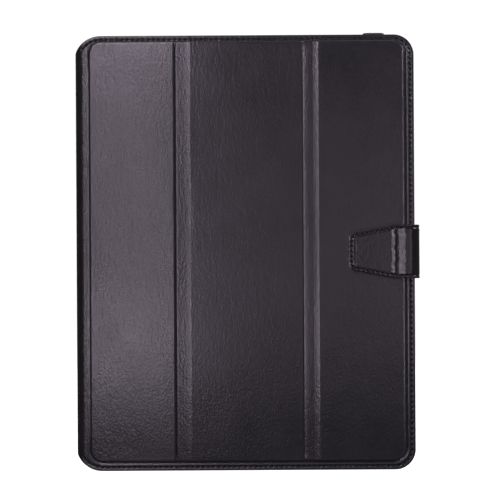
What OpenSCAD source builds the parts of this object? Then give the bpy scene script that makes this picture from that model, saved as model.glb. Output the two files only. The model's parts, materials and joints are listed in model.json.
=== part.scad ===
// Tri-fold tablet case with a moulded tray, a hinged spine and a magnetic closing tab.
// It stands upright and closed on its bottom edges: the front cover faces -Y, the spine is at -X,
// and the origin is at the middle of the base.

/* [Cover] */
// Width from the outside of the spine to the free edge
cover_w = 224.4; // [223:0.1:228]
// Height from the bottom edge to the top edge
cover_h = 288; // [287:0.5:296]
// Corner radius at the free edge
corner_r = 13.5; // [10:0.5:16]
// Radius of the flatter corners beside the spine
spine_corner_r = 18.8; // [17:0.2:20]
// How far the spine cuts into those corners
spine_corner_cut = 1.4; // [0.5:0.1:2]

/* [Layers] */
// Thickness of the outer leather
leather_t = 1.1; // [0.9:0.1:1.3]
// Thickness of the stiffening boards
board_t = 1.6; // [1.2:0.1:2]
// Thickness of the inner lining
lining_t = 0.5; // [0.3:0.1:0.6]
// How far the lining stops short of the leather edge
lining_inset = 0.3; // [0.2:0.1:0.6]

/* [Panels] */
// Distance from the outside of the spine to the cover hinge line
cover_hinge_u = 8.8; // [8.6:0.1:9]
// Distance from the outside of the spine to the first fold line
fold_1_u = 70.7; // [70:0.1:71.5]
// Distance from the outside of the spine to the second fold line
fold_2_u = 155.5; // [155:0.1:156]
// Width of the flexible channel along each fold
channel_w = 11.6; // [10:0.1:12]
// Width of the sewn border at the top
border_top = 4.8; // [4.6:0.1:6]
// Width of the sewn border at the bottom
border_bottom = 7; // [6:0.1:8]
// Width of the sewn border at the free edge
border_side = 7.2; // [6.5:0.1:8]
// Slit between neighbouring stiff sections
fold_gap = 0.4; // [0.3:0.05:0.6]

/* [Stitching] */
// Distance of the seam from the leather edge
seam_inset = 2.6; // [2.2:0.1:3]
// Width of the thread
thread_w = 0.6; // [0.4:0.1:0.8]
// Height of the thread above the leather
thread_h = 0.25; // [0.15:0.05:0.4]

/* [Tablet] */
// Width of the tablet that the tray holds
tablet_w = 214.9; // [214.5:0.1:215.2]
// Height of the tablet that the tray holds
tablet_h = 280.6; // [280:0.1:281]
// Thickness of the tablet that the tray holds
tablet_t = 6.4; // [5.9:0.1:7]

/* [Tray] */
// Thickness of the tray walls
tray_wall = 1.8; // [1.5:0.1:2]
// Thickness of the tray floor
tray_floor = 1.5; // [1.2:0.1:2]
// Thickness of the lip over the tablet's edge
lip_t = 1.1; // [0.8:0.1:1.4]
// Overhang of the lip
lip_w = 1.2; // [0.8:0.1:1.6]
// Outer corner radius of the tray
tray_r = 16; // [14:0.5:18]
// Thickness of the soft sheet on the tray floor
pad_t = 0.4; // [0.3:0.1:0.6]
// Air between the closed cover and the tray
cover_gap = 0.4; // [0.3:0.05:0.6]
// Side of the camera window
camera_w = 30; // [24:1:31]

/* [Closing tab] */
// Length of the flap over the front cover
flap_reach = 44.2; // [42:0.1:46]
// Width of the flap at its free end
flap_end_w = 26; // [24:0.5:28]
// Width of the tab around the edge
tab_w = 35.5; // [34:0.5:38]
// Height of the tab's middle above the base
tab_z = 144.3; // [140:0.1:150]
// Thickness of the tab, outer and inner leather together
tab_t = 2.8; // [2.6:0.1:3]
// Air between the tab and the cover
tab_gap = 0.3; // [0.3:0.05:0.4]

/* [Buttons] */
// Travel of each button cover
button_travel = 0.5; // [0.3:0.1:0.6]
// Length of the power button cover
power_len = 14.3; // [12:0.1:16]
// Height of the power button cover above the cover's top edge
power_proud = 1.1; // [0.8:0.1:1.5]
// Length of each volume button cover
volume_len = 12; // [10:0.5:14]

/* [Hidden] */
$fn = 64;

FRONT = -1;
BACK = 1;
over = 1;                // how far a cutting shape runs past what it cuts

// Closing tab round the free edge
tab_side_gap = 0.5;
tab_u0 = cover_w + tab_side_gap;
tab_u1 = tab_u0 + tab_t;
tab_mitre = 0.3;         // half of the slit at the tab's front corner
flap_u0 = cover_w - flap_reach;
flap_u1 = 210.9;         // where the flap reaches its full width
flap_r = 3;
anchor_t = 0.5;
anchor_w = 6;

// Positions through the thickness, front to back
tray_t = lip_t + tablet_t + pad_t + tray_floor;
cover_t = leather_t + board_t + lining_t;
flap_proud = tab_t + tab_gap;
closed_t = 2 * cover_t + cover_gap + tray_t;
front_face_y = (flap_proud + thread_h - closed_t) / 2;
front_flange_y = front_face_y + board_t;
front_seam_y = front_flange_y + leather_t;
front_inner_y = front_seam_y + lining_t;
tray_front_y = front_inner_y + cover_gap;
tray_back_y = tray_front_y + tray_t;
back_seam_y = tray_back_y + lining_t;
back_flange_y = back_seam_y + leather_t;
bay_front_y = tray_front_y + lip_t;
bay_back_y = tray_back_y - tray_floor;
flap_face_y = front_face_y - flap_proud;
mid_y = (front_flange_y + back_flange_y) / 2;

// Spine section
spine_front_r = 4.5;
spine_back_r = 3;
spine_board_t = 1.4;
back_hinge_u = 3.2;
spine_inner_u = leather_t + spine_board_t + lining_t;

// Tray outline, level with the free edge and centred in height
bay_clear_w = 0.3;
bay_clear_h = 0.4;
tray_w = tablet_w + 2 * (bay_clear_w + tray_wall);
tray_h = tablet_h + 2 * (bay_clear_h + tray_wall);
tray_edge = 1.1;
tray_u1 = cover_w - tray_edge;
tray_u0 = tray_u1 - tray_w;
tray_z0 = (cover_h - tray_h) / 2;
tray_z1 = tray_z0 + tray_h;
tray_mid_u = (tray_u0 + tray_u1) / 2;
bay_mid_y = (bay_front_y + bay_back_y) / 2;

// Raised boards under the leather
panel_spans = [
    [cover_hinge_u + fold_gap / 2, fold_1_u - fold_gap / 2],
    [fold_1_u + fold_gap / 2, fold_2_u - fold_gap / 2],
    [fold_2_u + fold_gap / 2, cover_w],
];
panel_1_raise_u = 10.4;
raised_spans = [
    [panel_1_raise_u, fold_1_u - channel_w / 2],
    [fold_1_u + channel_w / 2, fold_2_u - channel_w / 2],
    [fold_2_u + channel_w / 2, cover_w - border_side],
];
raised_radii = [[6.6, 0], [0, 0], [0, 8]];
raised_z = [border_bottom, cover_h - border_top];
back_span = [back_hinge_u + fold_gap / 2, cover_w];
back_raise_u = 12;
back_border = 5.2;

// Camera window
camera_from_edge = 20.5;
camera_r = 8;
camera_ring_t = 1;
camera_u = tray_u1 - tray_wall - camera_from_edge;
camera_z = tray_z1 - tray_wall - camera_from_edge;

// Steel and magnets
plate_u = [186, 212];
plate_h = 22;
plate_t = 0.8;
magnet_u = [187.2, 208.4];
magnet_h = 20;
magnet_t = 0.8;
wake_size = [4, 12];
wake_t = 1.2;
wake_u = 210.5;
wake_z = [96, 192];

// Buttons and sockets
power_u = 198.3;
button_depth = 5.6;
button_rim = 0.8;        // how far a pad overlaps its opening
stem_clear = 0.3;
pad_lift = 0.1;          // air left under a pad that is fully pressed
volume_z = [252.5, 238.5];
volume_pad_t = 0.5;
port_size = [14, 5.6];
speaker_size = [36, 3];
speaker_offset = 70;
mic_r = 0.8;
mic_u = [-20, 0, 20];

leather = [0.15, 0.14, 0.16];
leather_light = [0.24, 0.22, 0.25];
suede = [0.33, 0.33, 0.35];
board_grey = [0.62, 0.6, 0.56];
polymer = [0.1, 0.1, 0.11];
thread = [0.05, 0.05, 0.06];
steel = [0.7, 0.71, 0.73];

// ---------------------------------------------------------------- shared shapes

// Everything is drawn with u measured from the outside of the spine, and centred here.
module in_place() {
    translate([-tab_u1 / 2, 0, 0]) children();
}

// A flat sheet in the plane of the cover, from one depth to another.
module slab(y0, y1) {
    translate([0, max(y0, y1), 0]) rotate([90, 0, 0]) linear_extrude(abs(y1 - y0)) children();
}

// A sheet at heights w0 to w1 above a cover's seam plane, outwards.
function layer_y(side, w) = side == FRONT ? front_seam_y - w : back_seam_y + w;

module layer(side, w0, w1) {
    slab(layer_y(side, w0), layer_y(side, w1)) children();
}

// A column of constant section over the whole height.
module column(z0 = 0, z1 = cover_h) {
    translate([0, 0, z0]) linear_extrude(z1 - z0) children();
}

// A cut or pin along X, drawn as depth and height.
module along_x(u0, u1) {
    translate([u0, 0, 0]) rotate([90, 0, 90]) linear_extrude(u1 - u0) children();
}

// A box outline with one radius at its left corners and one at its right corners.
module rounded_box(u, z, r_left, r_right) {
    translate([u[0] + r_left, z[0]]) square([u[1] - u[0] - r_left - r_right, z[1] - z[0]]);
    if (r_left > 0) {
        translate([u[0], z[0] + r_left]) square([r_left + over, z[1] - z[0] - 2 * r_left]);
        for (cz = [z[0] + r_left, z[1] - r_left]) translate([u[0] + r_left, cz]) circle(r_left);
    }
    if (r_right > 0) {
        translate([u[1] - r_right - over, z[0] + r_right])
            square([r_right + over, z[1] - z[0] - 2 * r_right]);
        for (cz = [z[0] + r_right, z[1] - r_right]) translate([u[1] - r_right, cz]) circle(r_right);
    }
}

// A slot with round ends, lying along its first direction.
module slot(size) {
    straight = size[0] - size[1];
    square([straight, size[1]], center = true);
    for (side = [-1, 1]) translate([side * straight / 2, 0]) circle(size[1] / 2);
}

// The whole cover's outline, drawn in by an inset.
module cover_outline(inset = 0) {
    intersection() {
        rounded_box([inset - spine_corner_cut, cover_w - inset], [inset, cover_h - inset],
                    spine_corner_r - inset, corner_r - inset);
        square([cover_w, cover_h]);
    }
}

// The part of that outline between two lines along the height.
module cover_strip(span, inset = 0) {
    intersection() {
        cover_outline(inset);
        translate([span[0], 0]) square([span[1] - span[0], cover_h]);
    }
}

module raised_outline(i, inset = 0) {
    rounded_box([raised_spans[i][0] + inset, raised_spans[i][1] - inset],
                [raised_z[0] + inset, raised_z[1] - inset],
                max(raised_radii[i][0] - inset, 0), max(raised_radii[i][1] - inset, 0));
}

module back_raised_outline(inset = 0) {
    rounded_box([back_raise_u + inset, cover_w - back_border - inset],
                [raised_z[0] + inset, raised_z[1] - inset],
                raised_radii[0][0] - inset, raised_radii[2][1] - inset);
}

module camera_outline(grow = 0) {
    half = camera_w / 2 + grow;
    rounded_box([camera_u - half, camera_u + half], [camera_z - half, camera_z + half],
                camera_r + grow, camera_r + grow);
}

module seam_line(span) {
    intersection() {
        difference() {
            cover_outline(seam_inset);
            cover_outline(seam_inset + thread_w);
        }
        translate([span[0], 0]) square([span[1] - span[0], cover_h]);
    }
}

// ---------------------------------------------------------------- back cover

module back_leather() {
    color(leather) in_place() difference() {
        union() {
            layer(BACK, 0, leather_t) cover_strip(back_span);
            layer(BACK, 0, leather_t + board_t) back_raised_outline();
        }
        layer(BACK, -over, board_t) back_raised_outline(leather_t);
        slab(front_face_y, layer_y(BACK, cover_t + over)) camera_outline(camera_ring_t);
        tab_anchor_solid();
    }
}

module back_board() {
    color(board_grey) in_place() layer(BACK, 0, board_t) difference() {
        back_raised_outline(leather_t);
        camera_outline(camera_ring_t);
    }
}

module back_lining() {
    color(suede) in_place() layer(BACK, -lining_t, 0) difference() {
        cover_strip(back_span, lining_inset);
        camera_outline(camera_ring_t);
    }
}

module back_stitches() {
    color(thread) in_place() layer(BACK, leather_t, leather_t + thread_h) seam_line(back_span);
}

module camera_surround() {
    color(polymer) in_place() layer(BACK, -lining_t, leather_t + board_t) difference() {
        camera_outline(camera_ring_t);
        camera_outline();
    }
}

// The tab's thinned end, sewn in between the leather and the lining.
module tab_anchor_solid() {
    layer(BACK, 0, anchor_t)
        translate([cover_w - anchor_w, tab_z - tab_w / 2]) square([anchor_w, tab_w]);
}

module tab_anchor() {
    color(leather_light) in_place() tab_anchor_solid();
}

// ---------------------------------------------------------------- tray

module tray_outline(inset = 0) {
    rounded_box([tray_u0 + inset, tray_u1 - inset], [tray_z0 + inset, tray_z1 - inset],
                tray_r - inset, tray_r - inset);
}

module tray_sockets() {
    column(tray_z0 - over, tray_z0 + tray_wall + over)
        translate([tray_mid_u, bay_mid_y]) slot(port_size);
    for (side = [-1, 1]) column(tray_z0 - over, tray_z1 + over)
        translate([tray_mid_u + side * speaker_offset, bay_mid_y]) slot(speaker_size);
    for (u = mic_u) column(tray_z1 - tray_wall - over, tray_z1 + over)
        translate([tray_mid_u + u, bay_mid_y]) circle(mic_r);
    column(tray_z1 - tray_wall - over, tray_z1 + over)
        translate([power_u, bay_mid_y]) slot(opening_size(power_len));
    for (z = volume_z) along_x(tray_u1 - tray_wall - over, tray_u1 + over)
        translate([bay_mid_y, z]) rotate(90) slot(opening_size(volume_len));
}

module tray_shell() {
    color(polymer) in_place() difference() {
        slab(tray_front_y, tray_back_y) tray_outline();
        slab(bay_front_y, bay_back_y) tray_outline(tray_wall);
        slab(tray_front_y - over, bay_back_y) tray_outline(tray_wall + lip_w);
        slab(bay_front_y, tray_back_y + over) camera_outline();
        tray_sockets();
    }
}

module tray_lining() {
    color(suede) in_place() slab(bay_back_y - pad_t, bay_back_y) difference() {
        tray_outline(tray_wall + lining_inset);
        camera_outline(camera_ring_t);
    }
}

// ---------------------------------------------------------------- spine

// What lies inside the spine's outer surface, drawn in by an inset.
module spine_fill(inset) {
    reach = 2 * cover_hinge_u;
    front_y = front_flange_y + inset;
    back_y = back_flange_y - inset;
    front_c = [spine_front_r, front_flange_y + spine_front_r];
    back_c = [spine_back_r, back_flange_y - spine_back_r];
    translate([front_c[0], front_y]) square([reach, back_y - front_y]);
    translate([back_c[0], front_c[1]]) square([reach, back_y - front_c[1]]);
    translate([inset, front_c[1]]) square([reach, back_c[1] - front_c[1]]);
    translate(front_c) circle(spine_front_r - inset);
    translate(back_c) circle(spine_back_r - inset);
}

// The spine's reach: far over the front, and short at the back.
module spine_zone() {
    translate([0, front_face_y]) square([cover_hinge_u - fold_gap / 2, mid_y - front_face_y]);
    translate([0, front_face_y]) square([back_hinge_u - fold_gap / 2, closed_t]);
}

module spine_board_section() {
    translate([leather_t, front_flange_y + spine_front_r])
        square([spine_board_t, back_flange_y - spine_back_r - front_flange_y - spine_front_r]);
}

module spine_void() {
    pad = leather_t + lining_t;
    translate([spine_inner_u, front_flange_y + pad])
        square([2 * cover_hinge_u, back_flange_y - front_flange_y - 2 * pad]);
}

// A spine section over the whole height, with its ends cut to the cover's outline.
module spine_solid(inset = 0) {
    intersection() {
        column() children();
        slab(flap_face_y, layer_y(BACK, cover_t)) cover_outline(inset);
    }
}

module spine_board_solid() {
    column(spine_corner_r, cover_h - spine_corner_r) spine_board_section();
}

module spine_leather() {
    color(leather_light) in_place() spine_solid() intersection() {
        difference() {
            spine_fill(0);
            spine_fill(leather_t);
        }
        spine_zone();
    }
}

module spine_board() {
    color(board_grey) in_place() spine_board_solid();
}

module spine_lining() {
    color(suede) in_place() difference() {
        spine_solid(lining_inset) intersection() {
            difference() {
                spine_fill(leather_t);
                spine_void();
            }
            spine_zone();
        }
        spine_board_solid();
    }
}

// ---------------------------------------------------------------- front panels

module panel_leather(i, tone) {
    color(tone) in_place() difference() {
        union() {
            layer(FRONT, 0, leather_t) cover_strip(panel_spans[i]);
            layer(FRONT, 0, leather_t + board_t) raised_outline(i);
        }
        layer(FRONT, -over, board_t) raised_outline(i, leather_t);
    }
}

module panel_board_solid(i) {
    layer(FRONT, 0, board_t) raised_outline(i, leather_t);
}

module panel_board(i) {
    color(board_grey) in_place() panel_board_solid(i);
}

module panel_lining(i) {
    color(suede) in_place() layer(FRONT, -lining_t, 0) cover_strip(panel_spans[i], lining_inset);
}

module panel_stitches(i) {
    color(thread) in_place() layer(FRONT, leather_t, leather_t + thread_h) seam_line(panel_spans[i]);
}

module panel_1_leather() { panel_leather(0, leather_light); }
module panel_1_board() { panel_board(0); }
module panel_1_lining() { panel_lining(0); }
module panel_1_stitches() { panel_stitches(0); }

module panel_2_leather() { panel_leather(1, leather); }
module panel_2_board() { panel_board(1); }
module panel_2_lining() { panel_lining(1); }
module panel_2_stitches() { panel_stitches(1); }

module panel_3_leather() { panel_leather(2, leather); }
module panel_3_lining() { panel_lining(2); }
module panel_3_stitches() { panel_stitches(2); }

// Steel that the tab's magnet holds, let into the board's outer face.
module closure_plate_solid() {
    layer(FRONT, board_t - plate_t, board_t)
        rounded_box(plate_u, [tab_z - plate_h / 2, tab_z + plate_h / 2], 2, 2);
}

// Two small magnets in the board that put the tablet to sleep.
module wake_magnets_solid() {
    for (z = wake_z) layer(FRONT, 0, wake_t)
        translate([wake_u - wake_size[0] / 2, z - wake_size[1] / 2]) square(wake_size);
}

module panel_3_board() {
    color(board_grey) in_place() difference() {
        panel_board_solid(2);
        closure_plate_solid();
        wake_magnets_solid();
    }
}

module closure_plate() {
    color(steel) in_place() closure_plate_solid();
}

module wake_magnets() {
    color(steel) in_place() wake_magnets_solid();
}

// ---------------------------------------------------------------- closing tab

// The flap seen from the front: a taper with two rounded corners, its sides tangent to them.
module flap_outline(inset = 0) {
    corner = [flap_u0 + flap_r, flap_end_w / 2 - flap_r];
    r = flap_r - inset;
    wide = [flap_u1, tab_w / 2 - inset];
    apart = wide - corner;
    turn = atan2(apart[1], apart[0]) + acos(r / norm(apart));
    out = [cos(turn), sin(turn)];
    touch = corner + r * out;
    sharp = [flap_u0 + inset, touch[1] + (touch[0] - flap_u0 - inset) * out[0] / out[1]];
    translate([0, tab_z]) difference() {
        polygon([
            [sharp[0], -sharp[1]], sharp, wide, [tab_u1, wide[1]],
            [tab_u1, -wide[1]], [wide[0], -wide[1]],
        ]);
        for (side = [0, 1]) mirror([0, side]) difference() {
            polygon([
                corner, [sharp[0] - over, corner[1]], [sharp[0] - over, sharp[1] + over],
                touch + 2 * over * out,
            ]);
            translate(corner) circle(r);
        }
    }
}

// The flap between two depths below its outer face, mitred at the tab's corner.
module flap_sheet(d0, d1) {
    intersection() {
        slab(flap_face_y + d0, flap_face_y + d1) flap_outline();
        column() polygon([
            [flap_u0 - over, flap_face_y + d0], [tab_u1 - tab_mitre - d0, flap_face_y + d0],
            [tab_u1 - tab_mitre - d1, flap_face_y + d1], [flap_u0 - over, flap_face_y + d1],
        ]);
    }
}

module tab_magnet_solid() {
    slab(flap_face_y + (tab_t - magnet_t) / 2, flap_face_y + (tab_t + magnet_t) / 2)
        rounded_box(magnet_u, [tab_z - magnet_h / 2, tab_z + magnet_h / 2], 2, 2);
}

module tab_flap_leather() {
    color(leather) in_place() difference() {
        flap_sheet(0, tab_t / 2);
        tab_magnet_solid();
    }
}

module tab_flap_lining() {
    color(leather_light) in_place() difference() {
        flap_sheet(tab_t / 2, tab_t);
        tab_magnet_solid();
    }
}

module tab_magnet() {
    color(steel) in_place() tab_magnet_solid();
}

// Thread let into the face of the flap along its free edges.
module tab_flap_stitches() {
    flap_seam = 1.8;
    color(thread) in_place() intersection() {
        slab(flap_face_y - thread_h, flap_face_y) difference() {
            flap_outline(flap_seam);
            flap_outline(flap_seam + thread_w);
        }
        translate([0, flap_face_y - over, 0]) cube([tab_u1 - tab_t, 2 * over, cover_h]);
    }
}

// The tab beside the free edge between two depths below its outer face, mitred at the front.
module tab_side_sheet(d0, d1) {
    front_y0 = flap_face_y + tab_mitre + d0;
    front_y1 = flap_face_y + tab_mitre + d1;
    column(tab_z - tab_w / 2, tab_z + tab_w / 2) polygon([
        [tab_u1 - d0, front_y0], [tab_u1 - d0, back_flange_y],
        [tab_u1 - d1, back_flange_y], [tab_u1 - d1, front_y1],
    ]);
}

module tab_side_leather() {
    color(leather_light) in_place() tab_side_sheet(0, tab_t / 2);
}

module tab_side_lining() {
    color(leather) in_place() tab_side_sheet(tab_t / 2, tab_t);
}

// ---------------------------------------------------------------- button covers

function opening_size(length) = [length - 2 * button_rim, button_depth - 2 * button_rim];
function stem_size(length) = [
    length - 2 * (button_rim + stem_clear), button_depth - 2 * (button_rim + stem_clear)
];

// The inner end of a stem rests just short of the tablet's side.
stem_end = 0.2;

module power_button_cover() {
    pad_z = tray_z1 + button_travel + pad_lift;
    color(leather_light) in_place() translate([power_u, bay_mid_y]) {
        column(pad_z, cover_h + power_proud) slot([power_len, button_depth]);
        column(tray_z1 - tray_wall + stem_end, pad_z + pad_lift) slot(stem_size(power_len));
    }
}

module volume_cover(z) {
    pad_u = tray_u1 + button_travel + pad_lift;
    color(leather_light) in_place() {
        along_x(pad_u, pad_u + volume_pad_t)
            translate([bay_mid_y, z]) rotate(90) slot([volume_len, button_depth]);
        along_x(tray_u1 - tray_wall + stem_end, pad_u + pad_lift)
            translate([bay_mid_y, z]) rotate(90) slot(stem_size(volume_len));
    }
}

module volume_up_cover() { volume_cover(volume_z[0]); }
module volume_down_cover() { volume_cover(volume_z[1]); }

back_leather();
back_board();
back_lining();
back_stitches();
camera_surround();
tab_anchor();
tray_shell();
tray_lining();
spine_leather();
spine_board();
spine_lining();
panel_1_leather();
panel_1_board();
panel_1_lining();
panel_1_stitches();
panel_2_leather();
panel_2_board();
panel_2_lining();
panel_2_stitches();
panel_3_leather();
panel_3_board();
panel_3_lining();
panel_3_stitches();
closure_plate();
wake_magnets();
tab_side_leather();
tab_side_lining();
tab_flap_leather();
tab_flap_lining();
tab_magnet();
tab_flap_stitches();
power_button_cover();
volume_up_cover();
volume_down_cover();
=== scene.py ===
"""Looks of a closed tri-fold leather tablet case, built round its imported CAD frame.

Lengths here are in millimetres. u runs from the outside of the spine to the closing tab, z runs up, and y
runs from the front cover to the back. A height is measured outwards from the plane where leather and lining
are glued.
"""

import json
import math

import bmesh
import bpy
import numpy as np
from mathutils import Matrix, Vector

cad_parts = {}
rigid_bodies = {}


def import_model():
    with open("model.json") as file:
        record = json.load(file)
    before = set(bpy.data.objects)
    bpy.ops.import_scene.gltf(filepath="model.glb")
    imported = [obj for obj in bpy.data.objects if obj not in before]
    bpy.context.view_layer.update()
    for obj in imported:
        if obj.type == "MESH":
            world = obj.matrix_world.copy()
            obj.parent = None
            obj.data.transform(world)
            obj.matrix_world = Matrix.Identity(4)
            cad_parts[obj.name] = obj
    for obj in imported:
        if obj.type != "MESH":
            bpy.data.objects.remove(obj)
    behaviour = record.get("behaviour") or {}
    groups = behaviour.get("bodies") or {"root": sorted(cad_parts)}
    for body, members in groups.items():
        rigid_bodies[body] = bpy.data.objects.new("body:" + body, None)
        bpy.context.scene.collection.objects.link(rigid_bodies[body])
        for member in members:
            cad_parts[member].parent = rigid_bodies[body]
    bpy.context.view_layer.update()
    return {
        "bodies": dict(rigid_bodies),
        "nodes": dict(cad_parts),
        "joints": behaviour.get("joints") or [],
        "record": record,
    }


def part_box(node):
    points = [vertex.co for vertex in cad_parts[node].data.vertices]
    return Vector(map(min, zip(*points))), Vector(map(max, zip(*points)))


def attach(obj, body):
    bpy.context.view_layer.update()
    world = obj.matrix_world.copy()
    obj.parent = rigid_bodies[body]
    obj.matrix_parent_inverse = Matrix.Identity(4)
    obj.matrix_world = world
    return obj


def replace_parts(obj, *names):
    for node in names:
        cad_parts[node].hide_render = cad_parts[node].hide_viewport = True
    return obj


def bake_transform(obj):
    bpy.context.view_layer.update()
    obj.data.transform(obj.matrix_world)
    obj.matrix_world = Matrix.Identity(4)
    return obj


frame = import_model()

MM = 0.001

# ---------------------------------------------------------------- sizes taken from the frame

SPINE_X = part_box("spine_leather")[0][0]


def span(node, axis):
    """A CAD node's lowest and highest u, y or z."""
    lo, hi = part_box(node)
    k = "uyz".index(axis)
    shift = SPINE_X if k == 0 else 0.0
    return (lo[k] - shift) / MM, (hi[k] - shift) / MM


def hinge_u(name):
    """How far across the cover a joint's axis is."""
    joint = next(j for j in frame["joints"] if j["name"] == name)
    return (joint["pos_m"][0] - SPINE_X) / MM


COVER_W = span("back_leather", "u")[1]
COVER_H = span("back_leather", "z")[1]
FRONT_FACE, FRONT_SEAM = span("panel_1_leather", "y")
FRONT_FLANGE, BACK_FLANGE = span("spine_leather", "y")
BACK_SEAM = span("back_leather", "y")[0]
LEATHER = FRONT_SEAM - FRONT_FLANGE
RAISE = FRONT_FLANGE - FRONT_FACE
LINING = span("panel_1_lining", "y")[1] - FRONT_SEAM
LINING_INSET = span("back_lining", "z")[0]
FOLD_U = {i: hinge_u(f"fold_{i}") for i in (1, 2)}
BOARD_1, BOARD_3 = span("panel_1_board", "u"), span("panel_3_board", "u")
BOARD_BACK = span("back_board", "u")
BOARD_Z = span("panel_1_board", "z")
RAISED_Z = (BOARD_Z[0] - LEATHER, BOARD_Z[1] + LEATHER)
CAMERA_U, CAMERA_Z = span("camera_surround", "u"), span("camera_surround", "z")
TAB_Z = sum(span("tab_side_leather", "z")) / 2
TAB_HALF = span("tab_side_leather", "z")[1] - TAB_Z
TAB_U0, TAB_U1 = span("tab_side_lining", "u")[0], span("tab_side_leather", "u")[1]
FLAP_U0 = span("tab_flap_leather", "u")[0]
FLAP_FACE = span("tab_flap_leather", "y")[0]
TAB_T = span("tab_flap_lining", "y")[1] - FLAP_FACE

# Outlines of the cover that a box can't say
CORNER_R = 13.5
SPINE_R = 18.8
SPINE_CUT = 1.4
COVER = ((-SPINE_CUT, COVER_W), (0.0, COVER_H))
FRONT_RAISED = ((BOARD_1[0] - LEATHER, BOARD_3[1] + LEATHER), RAISED_Z)
BACK_RAISED = ((BOARD_BACK[0] - LEATHER, BOARD_BACK[1] + LEATHER), RAISED_Z)
RAISED_R_LEFT, RAISED_R_RIGHT = 6.6, 8.0
CAMERA_R = 9.0

# The seam: its distance from the edge, and its stitches' spacing and length
SEAM = 2.6
PITCH = 3.5
STITCH_L = 2.7

# The relief round the boards
CREASE = 1.4               # from a board's outline out to the pressed line at its foot
SHOULDER = 1.05            # from a board's outline out to where its rounded side starts
SHOULDER_W = 0.95
HOLE_DEPTH, HOLE_R = 0.75, 0.62
GROOVE_DEPTH, GROOVE_W = 0.3, 0.5
LINE_DEPTH, LINE_W = 0.3, 0.4
CAMERA_LINE = 2.4          # from the camera window out to the pressed line round it

# Where one skin piece ends and the next begins
CHANNEL_HALF = FOLD_U[1] - (BOARD_1[1] + LEATHER)
CHANNEL_CREASE = 1.25
RAMP_FOOT = 0.6
SPINE_JOIN_U = 7.4
HINGE_JOIN_U = FRONT_RAISED[0][0] - CREASE
BACK_JOIN_U = (2.2, 5.0)
CHANNELS = {
    i: (u - CHANNEL_HALF + CHANNEL_CREASE, u + CHANNEL_HALF - RAMP_FOOT) for i, u in FOLD_U.items()
}

# ---------------------------------------------------------------- numbers along a line


def steps(marks, sizes):
    """Coordinates from mark to mark, about so far apart between each pair."""
    out = [marks[0]]
    for a, b, size in zip(marks, marks[1:], sizes):
        count = max(1, round((b - a) / size))
        out += [a + (b - a) * (k + 1) / count for k in range(count)]
    return np.array(out)


def smooth(x, a, b):
    """0 before a, 1 after b, with level ends."""
    t = np.clip((x - a) / (b - a), 0, 1)
    return t * t * (3 - 2 * t)


def bell(x, width):
    """1 at 0, falling away on both sides."""
    return np.exp(-((x / width) ** 2))


def inside(u, z, box, r_left, r_right):
    """Distance inside a rounded box, negative outside it."""
    (u0, u1), (z0, z1) = box
    r = np.where(u < (u0 + u1) / 2, r_left, r_right)
    qu = np.maximum(u0 - u, u - u1) + r
    qz = np.maximum(z0 - z, z - z1) + r
    return r - np.hypot(np.maximum(qu, 0), np.maximum(qz, 0)) - np.minimum(np.maximum(qu, qz), 0)


def edge_distance(u, z):
    """Distance inside the cover's outline."""
    return inside(u, z, COVER, SPINE_R, CORNER_R)


def corner_drop(u):
    """How far the outline is below the top edge beside the spine."""
    across = np.clip(SPINE_R - SPINE_CUT - u, 0, SPINE_R)
    return SPINE_R - np.sqrt(SPINE_R**2 - across**2)


def shear(u, z):
    """Bends the ends of a straight grid line to the outline's corner beside the spine."""
    reach = 40.0
    low = z < COVER_H / 2
    fade = np.clip(1 - np.where(low, z, COVER_H - z) / reach, 0, 1) ** 2
    return z + np.where(low, 1, -1) * corner_drop(u) * fade


def square_ends(u, z):
    """The ends of a piece that is cut straight across, such as the tab."""
    return z


def fit_outline(u, z):
    """Fits a rectangular grid to the cover's outline."""
    low = z < COVER_H / 2
    a = np.clip((u - COVER_W + CORNER_R) / CORNER_R, 0, 1)
    b = np.clip(1 - np.where(low, z, COVER_H - z) / CORNER_R, 0, 1)
    fitted_u = u - CORNER_R * a * (1 - np.sqrt(1 - b * b / 2))
    lift = CORNER_R * b * (1 - np.sqrt(1 - a * a / 2))
    return fitted_u, shear(u, z + np.where(low, lift, -lift))


# ---------------------------------------------------------------- the seam round each cover


def arc(cu, cz, r, a0, a1):
    """Points along a round corner, from one angle to another in degrees."""
    turn = np.radians(np.linspace(a0, a1, 60))
    return np.stack([cu + r * np.cos(turn), cz + r * np.sin(turn)], 1)


def cover_seam(start_u):
    """The line of stitches from the corner beside the spine, right round to the other corner."""
    left_r, right_r = SPINE_R - SEAM, CORNER_R - SEAM
    left_u, right_u = SPINE_R - SPINE_CUT, COVER_W - CORNER_R
    first = math.degrees(math.acos((start_u - left_u) / left_r))
    return np.concatenate([
        arc(left_u, COVER_H - SPINE_R, left_r, first, 90),
        arc(right_u, COVER_H - CORNER_R, right_r, 90, 0),
        arc(right_u, CORNER_R, right_r, 0, -90),
        arc(left_u, SPINE_R, left_r, -90, -first),
    ])


def along(path, distance):
    """Points and directions at these distances along a path."""
    leg = np.diff(path, axis=0)
    run = np.concatenate([[0], np.cumsum(np.hypot(leg[:, 0], leg[:, 1]))])
    near = 0.3
    behind, point, ahead = (
        np.stack([np.interp(distance + shift, run, path[:, k]) for k in (0, 1)], 1)
        for shift in (-near, 0, near)
    )
    way = ahead - behind
    return point, way / np.linalg.norm(way, axis=1, keepdims=True)


def seam_marks(path, pitch):
    """Stitch centres, their directions, and the holes between them."""
    length = np.hypot(*np.diff(path, axis=0).T).sum()
    count = int(length / pitch)
    first = (length - count * pitch) / 2
    centre, way = along(path, first + pitch * (np.arange(count) + 0.5))
    hole, _ = along(path, first + pitch * np.arange(count + 1))
    return centre, way, hole


FRONT_STITCHES = seam_marks(cover_seam(4.4), PITCH)
BACK_STITCHES = seam_marks(cover_seam(5.4), PITCH)


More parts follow.
